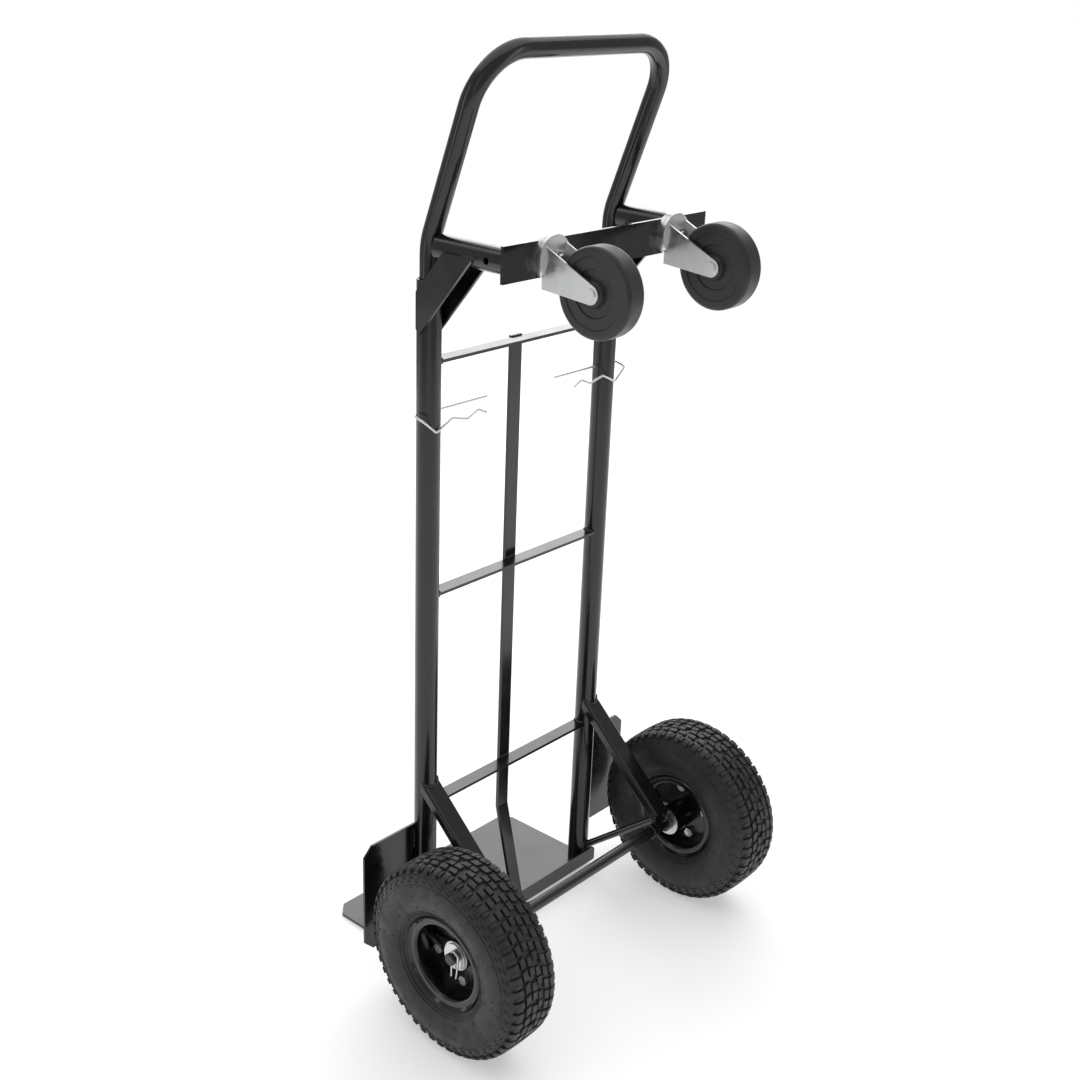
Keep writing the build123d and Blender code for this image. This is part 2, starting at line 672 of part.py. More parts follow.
with BuildPart() as left_swivel_balls:
    with Locations(Plane(origin=(CASTER_X, ball_y, SWIVEL_Z), z_dir=(0, 1, 0))):
        with PolarLocations(BALL_PITCH_R, BALLS):
            Sphere(BALL_R)
save(left_swivel_balls, "left_swivel_balls")
mirrored(left_swivel_balls, "right_swivel_balls")

caster_axle = (CASTER_AXLE_Y, CASTER_AXLE_Z)
leg_inside = FORK_GAP / 2

with BuildPart() as left_caster_fork:
    with BuildSketch(swivel_plane):
        with BuildLine():
            Polyline(
                (king_pin_r + RUNNING, fork_front_y),
                (SWIVEL_R - LIP_T, fork_front_y),
                (SWIVEL_R - LIP_T, ball_y + CLEAR),
                (SWIVEL_R, ball_y + CLEAR),
                (SWIVEL_R, fork_back_y),
                (king_pin_r + RUNNING, fork_back_y),
                close=True,
            )
        make_face()
    revolve(axis=swivel_axis)
    with BuildSketch(Plane.XZ.offset(-fork_front_y)):
        with Locations((CASTER_X, (FORK_TOP_Z + FORK_LOW_Z) / 2)):
            Rectangle(FORK_GAP + 2 * FORK_T, FORK_TOP_Z - FORK_LOW_Z)
        with Locations((CASTER_X, SWIVEL_Z)):
            Circle(SWIVEL_R - LIP_T, mode=Mode.SUBTRACT)
    extrude(amount=-FORK_T)
    for inner_x, outward in ((CASTER_X + leg_inside, 1), (CASTER_X - leg_inside, -1)):
        with BuildSketch(Plane.YZ.offset(inner_x)):
            with BuildLine():
                Line((fork_front_y, FORK_LOW_Z), (fork_front_y, FORK_TOP_Z))
                CenterArc(caster_axle, FORK_END_R, 0, 360)
            make_hull()
            with Locations(caster_axle):
                Circle(CASTER_PIN_D / 2, mode=Mode.SUBTRACT)
        extrude(amount=outward * FORK_T)
save(left_caster_fork, "left_caster_fork")
mirrored(left_caster_fork, "right_caster_fork")

leg_outside = leg_inside + FORK_T
with BuildPart() as left_caster_rivet:
    with BuildSketch(Plane.YZ.offset(CASTER_X)):
        with Locations(caster_axle):
            Circle(CASTER_PIN_D / 2)
    extrude(amount=leg_outside, both=True)
    for end_x, outward in ((CASTER_X + leg_outside, 1), (CASTER_X - leg_outside, -1)):
        with BuildSketch(Plane.YZ.offset(end_x)):
            with Locations(caster_axle):
                Circle(RIVET_HEAD_R)
        extrude(amount=outward * RIVET_HEAD_T)
save(left_caster_rivet, "left_caster_rivet")
mirrored(left_caster_rivet, "right_caster_rivet")

boss_half_w = leg_inside - CLEAR
caster_plane = Plane(
    origin=(CASTER_X, CASTER_AXLE_Y, CASTER_AXLE_Z), x_dir=(1, 0, 0), z_dir=(0, -1, 0)
)
caster_axis = Axis((CASTER_X, CASTER_AXLE_Y, CASTER_AXLE_Z), (1, 0, 0))

with BuildPart() as left_caster_sleeve:
    with BuildSketch(Plane.YZ.offset(CASTER_X)):
        with Locations(caster_axle):
            Circle(SLEEVE_R)
            Circle(CASTER_PIN_D / 2 + RUNNING, mode=Mode.SUBTRACT)
    extrude(amount=boss_half_w, both=True)
save(left_caster_sleeve, "left_caster_sleeve")
mirrored(left_caster_sleeve, "right_caster_sleeve")

half_w = CASTER_WHEEL_W / 2
BOSS_R = 14.0
BOSS_TAPER = 2.0
CASTER_SHOULDER_R = 5.0
STEP_R = (26.0, 39.0)
STEP_DEPTH = (3.0, 1.5)
with BuildPart() as left_caster_wheel:
    with BuildSketch(caster_plane) as caster_section:
        with BuildLine():
            Polyline(
                (boss_half_w, SLEEVE_R),
                (boss_half_w, BOSS_R),
                (half_w - STEP_DEPTH[0], BOSS_R + BOSS_TAPER),
                (half_w - STEP_DEPTH[0], STEP_R[0]),
                (half_w - STEP_DEPTH[1], STEP_R[0] + 1),
                (half_w - STEP_DEPTH[1], STEP_R[1]),
                (half_w, STEP_R[1] + 1),
                (half_w, CASTER_WHEEL_R),
                (0, CASTER_WHEEL_R),
                (0, SLEEVE_R),
                close=True,
            )
        make_face()
        outer_corner = caster_section.vertices().sort_by_distance((half_w, CASTER_WHEEL_R))[0]
        fillet(outer_corner, CASTER_SHOULDER_R)
        mirror(about=Plane.YZ)
    revolve(axis=caster_axis)
save(left_caster_wheel, "left_caster_wheel")
mirrored(left_caster_wheel, "right_caster_wheel")

# ---- Hairpin clips: the straight leg pins handle and upright, the wavy leg hugs the tube ----
CLIP_END_X = 62.0
CLIP_BOW_X = 184.0
CLIP_LATCH_Y = 17.6
# How far inboard of the upright's centre, and how far below the pin leg, each wave comes.
CLIP_WAVES = ((-4, 21), (22, 8), (48, 14), (66, 6), (80, 13))
CLIP_BOW_DROP = 4.0
CLIP_BEND_R = 5.0

with BuildPart() as left_hairpin_clip:
    with BuildLine() as clip_path:
        FilletPolyline(
            (CLIP_END_X, 0, CLIP_Z),
            (CLIP_BOW_X, 0, CLIP_Z),
            (CLIP_BOW_X, CLIP_LATCH_Y, CLIP_Z - CLIP_BOW_DROP),
            *[(UPRIGHT_X - inboard, CLIP_LATCH_Y, CLIP_Z - drop) for inboard, drop in CLIP_WAVES],
            radius=CLIP_BEND_R,
        )
    with BuildSketch(clip_path.line ^ 0):
        Circle(CLIP_WIRE_D / 2)
    sweep()
save(left_hairpin_clip, "left_hairpin_clip")
mirrored(left_hairpin_clip, "right_hairpin_clip")
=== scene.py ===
import json
import math
import random

import bmesh
import bpy
from mathutils import Matrix, Vector


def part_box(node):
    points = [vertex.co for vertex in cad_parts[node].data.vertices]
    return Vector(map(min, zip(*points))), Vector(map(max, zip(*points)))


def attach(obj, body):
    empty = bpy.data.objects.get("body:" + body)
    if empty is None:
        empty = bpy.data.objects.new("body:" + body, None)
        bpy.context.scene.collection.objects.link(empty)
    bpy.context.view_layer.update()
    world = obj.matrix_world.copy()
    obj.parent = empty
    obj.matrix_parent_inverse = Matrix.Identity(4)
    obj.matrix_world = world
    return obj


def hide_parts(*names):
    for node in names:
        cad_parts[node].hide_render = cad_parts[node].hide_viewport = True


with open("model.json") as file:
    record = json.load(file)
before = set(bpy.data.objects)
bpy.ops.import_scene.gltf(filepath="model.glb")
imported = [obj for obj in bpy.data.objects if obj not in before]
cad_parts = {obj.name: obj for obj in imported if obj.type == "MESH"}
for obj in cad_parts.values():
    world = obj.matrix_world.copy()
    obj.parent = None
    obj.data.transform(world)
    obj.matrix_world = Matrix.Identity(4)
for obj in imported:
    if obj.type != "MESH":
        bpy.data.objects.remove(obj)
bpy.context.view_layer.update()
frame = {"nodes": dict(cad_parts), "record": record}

# The scene is in metres, in the CAD's own frame: +X the user's left, +Y towards the user, +Z up.
# Lengths of the tyres and the welds are given in millimetres and turned into metres by MM.
MM = 0.001
TAU = 2 * math.pi

# Fixes the places of the tyres' dots and the ripples of the welds.
random.seed(7)


# ---- Materials ----
def new_material(name, color, roughness, metallic=0.0):
    """A Principled material, its node tree and its shader node."""
    mat = bpy.data.materials.new(name)
    mat.use_nodes = True
    shader = mat.node_tree.nodes["Principled BSDF"]
    shader.inputs["Base Color"].default_value = (*color, 1)
    shader.inputs["Roughness"].default_value = roughness
    shader.inputs["Metallic"].default_value = metallic
    return mat, mat.node_tree, shader


def noise(tree, scale, detail=3.0, stretch=(1, 1, 1)):
    """A noise texture in object coordinates."""
    coords = tree.nodes.new("ShaderNodeTexCoord")
    mapping = tree.nodes.new("ShaderNodeMapping")
    mapping.inputs["Scale"].default_value = stretch
    tex = tree.nodes.new("ShaderNodeTexNoise")
    tex.inputs["Scale"].default_value = scale
    tex.inputs["Detail"].default_value = detail
    tree.links.new(coords.outputs["Object"], mapping.inputs["Vector"])
    tree.links.new(mapping.outputs["Vector"], tex.inputs["Vector"])
    return tex.outputs["Fac"]


def ramp(tree, source, low, high, at=(0.35, 0.65)):
    """Maps a 0-1 value to a range of values or of colours."""
    node = tree.nodes.new("ShaderNodeValToRGB")
    for stop, place, value in zip(node.color_ramp.elements, at, (low, high)):
        stop.position = place
        stop.color = (value, value, value, 1) if isinstance(value, float) else (*value, 1)
    tree.links.new(source, node.inputs["Fac"])
    return node.outputs["Color"]


def bump(tree, shader, source, strength, distance):
    """Adds a fine relief to the shader."""
    node = tree.nodes.new("ShaderNodeBump")
    node.inputs["Strength"].default_value = strength
    node.inputs["Distance"].default_value = distance
    tree.links.new(source, node.inputs["Height"])
    tree.links.new(node.outputs["Normal"], shader.inputs["Normal"])


def paint_material(name, color, scuff):
    """Gloss enamel: slight orange peel, uneven gloss and a little rubbed-in dust."""
    mat, tree, shader = new_material(name, color, 0.2)
    shader.inputs["Specular IOR Level"].default_value = 0.5
    shader.inputs["Coat Weight"].default_value = 0.25
    shader.inputs["Coat Roughness"].default_value = 0.08
    patches = noise(tree, 22, 6)
    tree.links.new(ramp(tree, patches, 0.15, 0.27), shader.inputs["Roughness"])
    tree.links.new(ramp(tree, noise(tree, 60, 8), color, scuff, (0.55, 0.9)), shader.inputs["Base Color"])
    bump(tree, shader, noise(tree, 420, 2), 0.06, 0.0006)
    return mat


def metal_material(name, color, low, high):
    """Zinc plating: bright metal with soft patches and fine rolling lines."""
    mat, tree, shader = new_material(name, color, low, 1.0)
    tree.links.new(ramp(tree, noise(tree, 160, 4), low, high), shader.inputs["Roughness"])
    tint = tuple(c * 0.93 for c in color)
    tree.links.new(ramp(tree, noise(tree, 45, 5), tint, color), shader.inputs["Base Color"])
    bump(tree, shader, noise(tree, 700, 3, (1, 0.15, 1)), 0.03, 0.0002)
    return mat


def rubber_material(name, color, dusty, low, high, grain):
    """Moulded rubber: matt, grainy, paler where dust has settled."""
    mat, tree, shader = new_material(name, color, low)
    shader.inputs["Sheen Weight"].default_value = 0.05
    shader.inputs["Sheen Roughness"].default_value = 0.4
    tree.links.new(ramp(tree, noise(tree, 70, 6), low, high), shader.inputs["Roughness"])
    tree.links.new(ramp(tree, noise(tree, 30, 7), color, dusty, (0.4, 0.8)), shader.inputs["Base Color"])
    bump(tree, shader, noise(tree, grain, 4), 0.25, 0.0008)
    return mat


SLOT_MATERIALS = {
    "frame_paint": paint_material("frame_gloss_black", (0.006, 0.006, 0.0065), (0.012, 0.012, 0.012)),
    "rim_paint": paint_material("rim_gloss_black", (0.005, 0.005, 0.0055), (0.010, 0.010, 0.010)),
    "tyre": rubber_material("tyre_rubber", (0.012, 0.012, 0.0125), (0.022, 0.022, 0.021), 0.42, 0.62, 900),
    "tube_rubber": rubber_material("tube_rubber", (0.015, 0.015, 0.015), (0.02, 0.02, 0.02), 0.5, 0.6, 900),
    "valve": rubber_material("valve_rubber", (0.012, 0.012, 0.012), (0.02, 0.02, 0.02), 0.35, 0.5, 900),
    "caster_rubber": rubber_material(
        "caster_tread", (0.022, 0.022, 0.023), (0.030, 0.030, 0.030), 0.36, 0.5, 700
    ),
    "zinc_steel": metal_material("zinc_plate", (0.74, 0.75, 0.76), 0.28, 0.38),
}


def set_material(obj, mat):
    """Gives an object one material."""
    if obj.data.materials:
        for i in range(len(obj.data.materials)):
            obj.data.materials[i] = mat
    else:
        obj.data.materials.append(mat)


node_slots = {s["node"]: s["material_slot"] for s in frame["record"]["subparts"]}
for node, obj in frame["nodes"].items():
    set_material(obj, SLOT_MATERIALS[node_slots[node]])


def add_piece(name, bm, body, slot_name, smooth_angle=40):
    """Turns a bmesh into a piece that rides on a body."""
    bmesh.ops.recalc_face_normals(bm, faces=bm.faces)
    mesh = bpy.data.meshes.new(name)
    bm.to_mesh(mesh)
    bm.free()
    for face in mesh.polygons:
        face.use_smooth = True
    mesh.set_sharp_from_angle(angle=math.radians(smooth_angle))
    piece = bpy.data.objects.new(name, mesh)
    bpy.context.scene.collection.objects.link(piece)
    set_material(piece, SLOT_MATERIALS[slot_name])
    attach(piece, body)
    return piece


# ---- Tyres: a turned carcass with raised tread blocks, dashes and dots ----
# Section points are (x, r): x from the wheel's middle plane, r from its axis.
CROWN_R = 126.5
CROWN_HALF = 25.0
CROWN_DROP = 0.8
CROWN_STEPS = 8
CROWN_EDGE = (28.8, 125.2)
SHOULDER = (31.5, 124.0)
WALL_OUT = (43.6, 98.0)
WALL_FOOT = (30.0, 61.0)
WALL_STEPS = 22
BEAD_LINE = (
    (31.4, 60.0), (31.0, 58.2), (29.0, 57.0), (28.6, 55.2), (26.2, 52.2), (22.4, 52.4), (22.0, 60.0)
)
CAVITY_R = 33.8
CAVITY_MIDDLE_R = 86
CAVITY_START = math.radians(-50)
CAVITY_SWEEP = math.radians(280)
CAVITY_STEPS = 16
RING_STEPS = 204

# Along the surface, lengths run from the crown's middle. Round the tyre, they are parts of a pitch.
PITCHES = 25
TREAD_H = 3.3
WALL_H = 0.9
BLOCK_SUNK = 0.5
SIDE_SHIFT = 0.25
CENTRE_EDGES = (0.8, 8.6)
LEANING_EDGES = (11.2, 19.6)
LEAN = 0.10
# (near edge, far edge, start, end, height, steps across): shoulder block, lug and two dashes.
SIDE_ROWS = (
    (22.0, 36.5, 0.10, 0.36, TREAD_H, 5),
    (24.0, 32.0, 0.44, 0.60, TREAD_H * 0.8, 3),
    (40.5, 42.7, 0.08, 0.34, WALL_H, 2),
    (45.0, 47.0, 0.20, 0.46, WALL_H, 2),
)
DOT_EDGES = (53.0, 64.0, 79.0)
DOT_SIZE = 1.4
DOT_SCATTER = 0.6
# A dot's length round the tyre, in full turns.
DOT_TURN = 0.0022
# (distance from the crown's middle, half width, height) of the thin rings on the side wall.
WALL_RIBS = ((50.5, 0.5, 0.6), (88.0, 0.6, 0.8), (92.0, 0.9, 1.0))
RIB_SUNK = 0.4


def circle_through(a, b, c):
    """Centre of the circle through three points."""
    (ax, ay), (bx, by), (cx, cy) = a, b, c
    d = 2 * (ax * (by - cy) + bx * (cy - ay) + cx * (ay - by))
    ux = ((ax**2 + ay**2) * (by - cy) + (bx**2 + by**2) * (cy - ay) + (cx**2 + cy**2) * (ay - by)) / d
    uy = ((ax**2 + ay**2) * (cx - bx) + (bx**2 + by**2) * (ax - cx) + (cx**2 + cy**2) * (bx - ax)) / d
    return ux, uy


def half_profile():
    """Outside of the carcass from the crown's middle to the foot of the side wall."""
    points = []
    for i in range(CROWN_STEPS + 1):
        points.append((CROWN_HALF * i / CROWN_STEPS, CROWN_R - CROWN_DROP * (i / CROWN_STEPS) ** 2))
    points.append(CROWN_EDGE)
    cx, cy = circle_through(SHOULDER, WALL_OUT, WALL_FOOT)
    radius = math.hypot(SHOULDER[0] - cx, SHOULDER[1] - cy)
    start = math.atan2(SHOULDER[1] - cy, SHOULDER[0] - cx)
    end = math.atan2(WALL_FOOT[1] - cy, WALL_FOOT[0] - cx)
    for i in range(WALL_STEPS + 1):
        angle = start + (end - start) * i / WALL_STEPS
        points.append((cx + radius * math.cos(angle), cy + radius * math.sin(angle)))
    return points


PROFILE = half_profile()
RUN = [0.0]
for first, second in zip(PROFILE, PROFILE[1:]):
    RUN.append(RUN[-1] + math.dist(first, second))


def profile_at(s, lift):
    """(x, r) at arc length s from the crown's middle, lifted off the surface."""
    s = min(s, RUN[-1] - 0.01)
    i = max(k for k in range(len(RUN) - 1) if RUN[k] <= s)
    (x0, r0), (x1, r1) = PROFILE[i], PROFILE[i + 1]
    t = (s - RUN[i]) / (RUN[i + 1] - RUN[i])
    dx, dr = x1 - x0, r1 - r0
    length = math.hypot(dx, dr)
    return x0 + dx * t - dr / length * lift, r0 + dr * t + dx / length * lift


def join_rings(bm, rings):
    """Faces from each ring of vertices to the next, and from the last to the first."""
    for k, here in enumerate(rings):
        there = rings[(k + 1) % len(rings)]
        for i in range(len(here)):
            j = (i + 1) % len(here)
            bm.faces.new((here[i], here[j], there[j], there[i]))


def turn(pitch, phase):
    """Where a part of a pitch lies round the tyre, in full turns."""
    return (pitch + phase) / PITCHES


def rectangle(near, far, start, end):
    """Corners of a block whose sides run along and across the tread."""
    return (near, start), (far, start), (far, end), (near, end)


def tyre_block(bm, place, side, corners, height, steps=3):
    """A raised block that narrows to its top, from four (arc length, turns) corners.

    The corners are the near start, the far start, the far end and the near end.
    """
    grids = []
    (s0, a0), (s1, a1), (s2, a2), (s3, a3) = corners
    mid_s = (s0 + s1 + s2 + s3) / 4
    mid_a = (a0 + a1 + a2 + a3) / 4
    # The foot, the edge and the top, each with its share of the foot's size.
    for lift, shrink in ((-BLOCK_SUNK, 1.0), (height * 0.72, 0.97), (height, 0.86)):
        grid = []
        for i in range(steps + 1):
            row = []
            t = i / steps
            for low, high in (((s0, a0), (s1, a1)), ((s3, a3), (s2, a2))):
                s = low[0] + (high[0] - low[0]) * t
                a = low[1] + (high[1] - low[1]) * t
                s = mid_s + (s - mid_s) * shrink
                a = mid_a + (a - mid_a) * shrink
                x, r = profile_at(abs(s), lift)
                x = math.copysign(x, s)
                row.append(bm.verts.new(place(side * x, r, a * TAU)))
            grid.append(row)
        grids.append(grid)
    outlines = []
    for grid in grids:
        outlines.append([row[0] for row in grid] + [row[1] for row in reversed(grid)])
    for low, high in zip(outlines, outlines[1:]):
        for i in range(len(low)):
            j = (i + 1) % len(low)
            bm.faces.new((low[i], low[j], high[j], high[i]))
    for i in range(steps):
        for grid, flip in ((grids[-1], False), (grids[0], True)):
            quad = [grid[i][0], grid[i + 1][0], grid[i + 1][1], grid[i][1]]
            bm.faces.new(quad[::-1] if flip else quad)


def centre_blocks(bm, place, pitch):
    """Two pairs of blocks on the crown's middle, the second pair mirrored."""
    near, far = CENTRE_EDGES
    for phase, side in ((0.02, 1), (0.52, -1)):
        first = rectangle(-far, -near, turn(pitch, phase), turn(pitch, phase + 0.36))
        second = rectangle(near, far, turn(pitch, phase + 0.12), turn(pitch, phase + 0.46))
        tyre_block(bm, place, side, first, TREAD_H, 2)
        tyre_block(bm, place, side, second, TREAD_H, 2)


def side_blocks(bm, place, pitch, side):
    """The leaning blocks, shoulder blocks, lugs and dashes of one side, twice in a pitch."""
    shift = 0.0 if side > 0 else SIDE_SHIFT
    near, far = LEANING_EDGES
    lean = LEAN / PITCHES
    for phase in (shift, shift + 0.5):
        start, end = turn(pitch, phase + 0.04), turn(pitch, phase + 0.42)
        leaning = ((near, start + lean), (far, start), (far, end), (near, end + lean))
        tyre_block(bm, place, side, leaning, TREAD_H)
        for low, high, first, last, height, steps in SIDE_ROWS:
            corners = rectangle(low, high, turn(pitch, phase + first), turn(pitch, phase + last))
            tyre_block(bm, place, side, corners, height, steps)


def side_dots(bm, place, pitch, side):
    """Small dots scattered along the side wall."""
    for edge in DOT_EDGES:
        start = turn(pitch, random.random() * DOT_SCATTER)
        corners = rectangle(edge, edge + DOT_SIZE, start, start + DOT_TURN)
        tyre_block(bm, place, side, corners, WALL_H, 1)


def tyre_blocks(bm, place):
    """The whole tread pattern, repeated round the tyre."""
    for pitch in range(PITCHES):
        centre_blocks(bm, place, pitch)
        for side in (1, -1):
            side_blocks(bm, place, pitch, side)
            if pitch % 2 == 0:
                side_dots(bm, place, pitch, side)


def tyre_rib(bm, place, side, s, half, height):
    """A thin raised ring round the side wall."""
    line = ((s - half, -RIB_SUNK), (s - half / 2, height), (s + half / 2, height), (s + half, -RIB_SUNK))
    rings = []
    for k in range(RING_STEPS):
        ring = []
        for reach, lift in line:
            x, r = profile_at(reach, lift)
            ring.append(bm.verts.new(place(side * x, r, TAU * k / RING_STEPS)))
        rings.append(ring)
    join_rings(bm, rings)


def tyre_section():
    """The carcass's closed section: outside, one bead, the cavity and the other bead."""
    outside = [(-x, r) for x, r in reversed(PROFILE[1:])] + PROFILE
    inside = []
    for i in range(1, CAVITY_STEPS):
        angle = CAVITY_START + CAVITY_SWEEP * i / CAVITY_STEPS
        inside.append((CAVITY_R * math.cos(angle), CAVITY_MIDDLE_R + CAVITY_R * math.sin(angle)))
    return outside + list(BEAD_LINE) + inside + [(-x, r) for x, r in reversed(BEAD_LINE)]


def make_tyre(side_name, sign):
    """One tyre, in place on its wheel instead of the CAD's plain one."""
    low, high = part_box(f"{side_name}_tyre")
    centre = (low + high) / 2

    def place(x, r, angle):
        radial = Vector((0, math.cos(angle), math.sin(angle)))
        return centre + Vector((sign * x * MM, 0, 0)) + radial * (r * MM)

    bm = bmesh.new()
    section = tyre_section()
    rings = []
    for k in range(RING_STEPS):
        rings.append([bm.verts.new(place(x, r, TAU * k / RING_STEPS)) for x, r in section])
    join_rings(bm, rings)
    tyre_blocks(bm, place)
    for side in (1, -1):
        for s, half, height in WALL_RIBS:
            tyre_rib(bm, place, side, s, half, height)
    tyre = add_piece(f"{side_name}_tyre_tread", bm, f"{side_name}_wheel", "tyre", 35)
    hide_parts(f"{side_name}_tyre")


for side_name, sign in (("left", 1), ("right", -1)):
    make_tyre(side_name, sign)


# ---- Weld beads: rippled fillets along the frame's joints ----
def box_mm(node):
    """A CAD node's lowest and highest corners, in millimetres."""
    low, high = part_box(node)
    return low / MM, high / MM


# Points on the beads are in millimetres, with y counted from the uprights' axes.
upright_low, upright_high = box_mm("left_upright")
axle_low, axle_high = box_mm("axle")
arm_low, arm_high = box_mm("left_socket_arm")
UPRIGHT_X = (upright_low.x + upright_high.x) / 2
UPRIGHT_AXIS = Vector((0, (upright_low.y + upright_high.y) / 2, 0))
AXLE_Y = (axle_low.y + axle_high.y) / 2 - UPRIGHT_AXIS.y
AXLE_Z = (axle_low.z + axle_high.z) / 2
ARM_Z = (arm_low.z + arm_high.z) / 2
ARM_BACK = arm_high.y - UPRIGHT_AXIS.y
TUBE_R = 14.8

STRAP_HALF = 9.5
STRAP_STEPS = 8
BAR_HALF = 8.5
BRACE_ANGLE = math.radians(42.0)
BRACE_HALF = 13.4
BRACE_DEPTH = 14.6 / math.cos(BRACE_ANGLE)
BRACE_TOP_Y = 20.5
BRACE_TOP_Z = 276.7
BRACE_STEPS = 10
STRUT_ANGLE = math.radians(39.7)
STRUT_R = 5.6
STRUT_Z = 40.3
ARM_RING_R = 15.0
ARM_RING_BACK = 0.6
AXLE_RING_R = 8.8
AXLE_RING_IN = 14.6
FOOT_HALF = 9.0
FOOT_Y = 15.2
FOOT_Z = 33.0
GUARD_X = 12.3
GUARD_Y = -8.2
GUARD_SPANS = ((68, 96), (126, 154), (184, 212))
GUSSET_GAP = 1.2
GUSSET_Y = -3.4
GUSSET_SPAN = (890, 922)
GUSSET_TOP_SPAN = (66, 86)
BAR_FOOT_X = 9.6
BAR_FOOT_Y = 20.0
BAR_FOOT_SPAN = (20.5, 31.5)

BEAD_STEP = 0.7
BEAD_SIDES = 8
RIPPLE = 0.13
RIPPLE_STEPS = 3.6
UNEVEN = 0.07
WANDER = 0.12
TIP_SIZE = 0.35
TIP_GROWTH = 0.3


def bead(bm, points, radius, closed=False):
    """A rippled bead of weld along a line of points."""
    path = [(Vector(p) + UPRIGHT_AXIS) * MM for p in points]
    if closed:
        path.append(path[0].copy())
    samples = []
    for a, b in zip(path, path[1:]):
        count = max(1, int((b - a).length / (BEAD_STEP * MM)))
        samples += [a.lerp(b, i / count) for i in range(count)]
    samples.append(path[-1])
    rings = []
    for i, p in enumerate(samples):
        before = samples[max(i - 1, 0)]
        after = samples[min(i + 1, len(samples) - 1)]
        forward = (after - before).normalized()
        across = forward.orthogonal().normalized()
        up = forward.cross(across)
        from_end = min(i, len(samples) - 1 - i)
        taper = 1.0 if closed else min(1.0, TIP_SIZE + TIP_GROWTH * from_end)
        ripple = 1 + RIPPLE * math.sin(TAU * i / RIPPLE_STEPS) + random.uniform(-UNEVEN, UNEVEN)
        swell = ripple * taper * radius * MM
        shift = Vector((random.uniform(-1, 1), random.uniform(-1, 1), random.uniform(-1, 1)))
        middle = p + shift * WANDER * radius * MM
        ring = []
        for k in range(BEAD_SIDES):
            angle = TAU * k / BEAD_SIDES
            ring.append(bm.verts.new(middle + (across * math.cos(angle) + up * math.sin(angle)) * swell))
        rings.append(ring)
    for low, high in zip(rings, rings[1:]):
        best = min(range(BEAD_SIDES), key=lambda k: (high[k].co - low[0].co).length)
        for k in range(BEAD_SIDES):
            a, b = low[k], low[(k + 1) % BEAD_SIDES]
            c, d = high[(k + 1 + best) % BEAD_SIDES], high[(k + best) % BEAD_SIDES]
            bm.faces.new((a, b, c, d))
    bm.faces.new(rings[0][::-1])
    bm.faces.new(rings[-1])


def circle(count):
    """The cosine and sine of evenly spaced angles, once round."""
    return [(math.cos(TAU * i / count), math.sin(TAU * i / count)) for i in range(count)]


def tube_face(u, lift):
    """How far an upright's face stands from its axis in Y, at u to the side, plus a lift."""
    return math.sqrt(TUBE_R**2 - u * u) + lift


def strap_welds(bm, strap):
    """Above and below a strap's two ends, and where the centre bar crosses it."""
    low, high = box_mm(strap)
    half = math.asin(STRAP_HALF / TUBE_R)
    for sign in (1, -1):
        for z in (low.z - 0.4, high.z + 0.4):
            arc = []
            for i in range(STRAP_STEPS + 1):
                angle = -half + 2 * half * i / STRAP_STEPS
                x = sign * (UPRIGHT_X - (TUBE_R + 0.4) * math.cos(angle))
                arc.append((x, TUBE_R * math.sin(angle), z))
            bead(bm, arc, radius=2.0)
    front = -STRAP_HALF - 0.2
    for z in (high.z + 0.2, low.z - 0.4):
        bead(bm, [(-BAR_HALF, front, z), (BAR_HALF, front, z)], radius=1.7)


def brace_welds(bm, x):
    """Above and below the brace's end, round the upright."""
    for drop in (0.0, BRACE_DEPTH):
        saddle = []
        for i in range(BRACE_STEPS + 1):
            u = -BRACE_HALF + 2 * BRACE_HALF * i / BRACE_STEPS
            y = tube_face(u, 0.4)
            saddle.append((x + u, y, BRACE_TOP_Z - math.tan(BRACE_ANGLE) * (y - BRACE_TOP_Y) - drop))
        bead(bm, saddle, radius=2.1)


def ring_welds(bm, x, sign):
    """Round the strut at the upright, the socket arm at the crossbar and the axle at the brace."""
    strut = []
    for c, s in circle(16):
        u = STRUT_R * c
        y = tube_face(u, 0.3)
        rise = (y - TUBE_R) * math.tan(STRUT_ANGLE)
        strut.append((x + u, y, STRUT_Z + STRUT_R * s / math.cos(STRUT_ANGLE) + rise))
    bead(bm, strut, radius=1.5, closed=True)
    arm = [(x + ARM_RING_R * c, ARM_BACK - ARM_RING_BACK, ARM_Z + ARM_RING_R * s) for c, s in circle(40)]
    bead(bm, arm, radius=1.8, closed=True)
    inner = x - sign * AXLE_RING_IN
    axle = [(inner, AXLE_Y + AXLE_RING_R * c, AXLE_Z + AXLE_RING_R * s) for c, s in circle(24)]
    bead(bm, axle, radius=1.6, closed=True)


def straight_welds(bm, x, sign):
    """At the upright's foot, down the wheel guard, and along both gusset strips."""
    bead(bm, [(x - FOOT_HALF, FOOT_Y, FOOT_Z), (x + FOOT_HALF, FOOT_Y, FOOT_Z)], radius=2.0)
    guard_x = x + sign * GUARD_X
    for low_z, high_z in GUARD_SPANS:
        bead(bm, [(guard_x, GUARD_Y, low_z), (guard_x, GUARD_Y, high_z)], radius=1.7)
    for flank in (1, -1):
        edge = x + flank * TUBE_R
        gusset_x = edge + flank * GUSSET_GAP
        bead(bm, [(gusset_x, GUSSET_Y, z) for z in GUSSET_SPAN], radius=1.7)
        bead(bm, [(edge, y, ARM_Z - 0.5) for y in GUSSET_TOP_SPAN], radius=1.9)


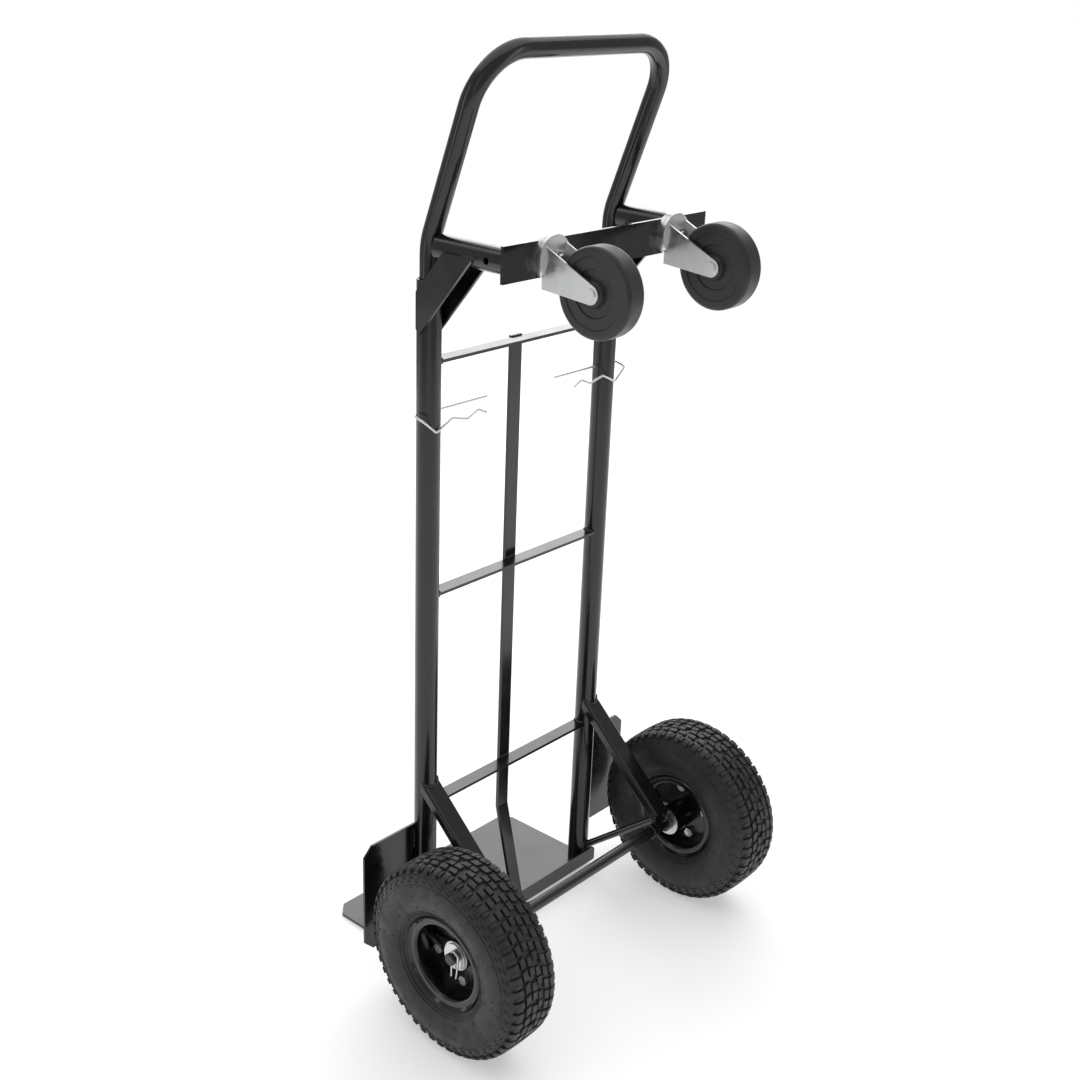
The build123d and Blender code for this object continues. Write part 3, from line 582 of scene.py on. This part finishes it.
def make_welds():
    """All the weld beads of the frame, as one piece."""
    bm = bmesh.new()
    for strap in ("upper_strap", "middle_strap", "lower_strap"):
        strap_welds(bm, strap)
    for sign in (1, -1):
        x = sign * UPRIGHT_X
        brace_welds(bm, x)
        ring_welds(bm, x, sign)
        straight_welds(bm, x, sign)
    for sign in (1, -1):
        bead(bm, [(sign * BAR_FOOT_X, BAR_FOOT_Y, z) for z in BAR_FOOT_SPAN], radius=1.6)
    add_piece("weld_beads", bm, "frame", "frame_paint", 60)


make_welds()


# ---- Floor, light and camera ----
# From here on, lengths are in metres.
FLOOR_HALF = 2.8
FLOOR_GLOW = 0.4
FLOOR_TONES = (0.745, 0.755)


def shaded_floor():
    """A large pale floor under the object, with a glow of its own to meet the white behind it."""
    bm = bmesh.new()
    bmesh.ops.create_grid(bm, x_segments=2, y_segments=2, size=FLOOR_HALF)
    mesh = bpy.data.meshes.new("floor")
    bm.to_mesh(mesh)
    bm.free()
    floor = bpy.data.objects.new("floor", mesh)
    bpy.context.scene.collection.objects.link(floor)
    mat, tree, shader = new_material("floor_white", (0.75, 0.75, 0.75), 0.8)
    tree.links.new(ramp(tree, noise(tree, 0.8, 2), *FLOOR_TONES), shader.inputs["Base Color"])
    shader.inputs["Emission Color"].default_value = (1, 1, 1, 1)
    shader.inputs["Emission Strength"].default_value = FLOOR_GLOW
    set_material(floor, mat)


shaded_floor()

WORLD_SEEN = 1.0
WORLD_LIGHT = 0.36


def studio_world():
    """A white world that the camera sees at full strength and that lights the object less."""
    world = bpy.data.worlds.new("studio")
    world.use_nodes = True
    tree = world.node_tree
    light = tree.nodes["Background"]
    light.inputs["Color"].default_value = (1, 1, 1, 1)
    light.inputs["Strength"].default_value = WORLD_LIGHT
    seen = tree.nodes.new("ShaderNodeBackground")
    seen.inputs["Color"].default_value = (1, 1, 1, 1)
    seen.inputs["Strength"].default_value = WORLD_SEEN
    ray = tree.nodes.new("ShaderNodeLightPath")
    mix = tree.nodes.new("ShaderNodeMixShader")
    tree.links.new(ray.outputs["Is Camera Ray"], mix.inputs["Fac"])
    tree.links.new(light.outputs["Background"], mix.inputs[1])
    tree.links.new(seen.outputs["Background"], mix.inputs[2])
    tree.links.new(mix.outputs["Shader"], tree.nodes["World Output"].inputs["Surface"])
    bpy.context.scene.world = world


studio_world()

AIM = Vector((0, 0.02, 0.6))


def softbox(name, place, width, height, radiance):
    """A rectangular area light that faces the object, as bright as its radiance."""
    data = bpy.data.lights.new(name, "AREA")
    data.shape = "RECTANGLE"
    data.size = width
    data.size_y = height
    data.energy = radiance * math.pi * width * height
    lamp = bpy.data.objects.new(name, data)
    bpy.context.scene.collection.objects.link(lamp)
    lamp.location = place
    lamp.rotation_euler = (AIM - Vector(place)).to_track_quat("-Z", "Y").to_euler()
    lamp.visible_camera = False


softbox("backdrop", (-2.35, -2.05, 2.1), 4.2, 1.7, 2.5)
softbox("overhead", (-0.6, -0.6, 5.0), 9.0, 9.0, 0.85)
softbox("left_strip", (2.9, -1.3, 1.2), 0.5, 2.2, 1.8)
softbox("back_strip", (-1.6, 2.9, 1.2), 0.6, 2.2, 1.8)
softbox("front_strip", (3.0, 2.0, 1.6), 0.5, 2.0, 0.7)

CAMERA_AT = Vector((1.3249, 1.1527, 1.3118))
YAW, PITCH, ROLL = (math.radians(v) for v in (48.68, 22.26, 2.21))
LENS = 49.53

forward = Vector((-math.sin(YAW) * math.cos(PITCH), -math.cos(YAW) * math.cos(PITCH), -math.sin(PITCH)))
right = forward.cross(Vector((0, 0, 1))).normalized()
up = right.cross(forward)
turned_right = right * math.cos(ROLL) + up * math.sin(ROLL)
turned_up = up * math.cos(ROLL) - right * math.sin(ROLL)

camera_data = bpy.data.cameras.new("camera")
camera_data.lens = LENS
camera_data.sensor_width = 36
camera = bpy.data.objects.new("camera", camera_data)
bpy.context.scene.collection.objects.link(camera)
rotation = Matrix((turned_right, turned_up, -forward)).transposed()
camera.matrix_world = Matrix.Translation(CAMERA_AT) @ rotation.to_4x4()
bpy.context.scene.camera = camera
bpy.context.scene.view_settings.view_transform = "Standard"
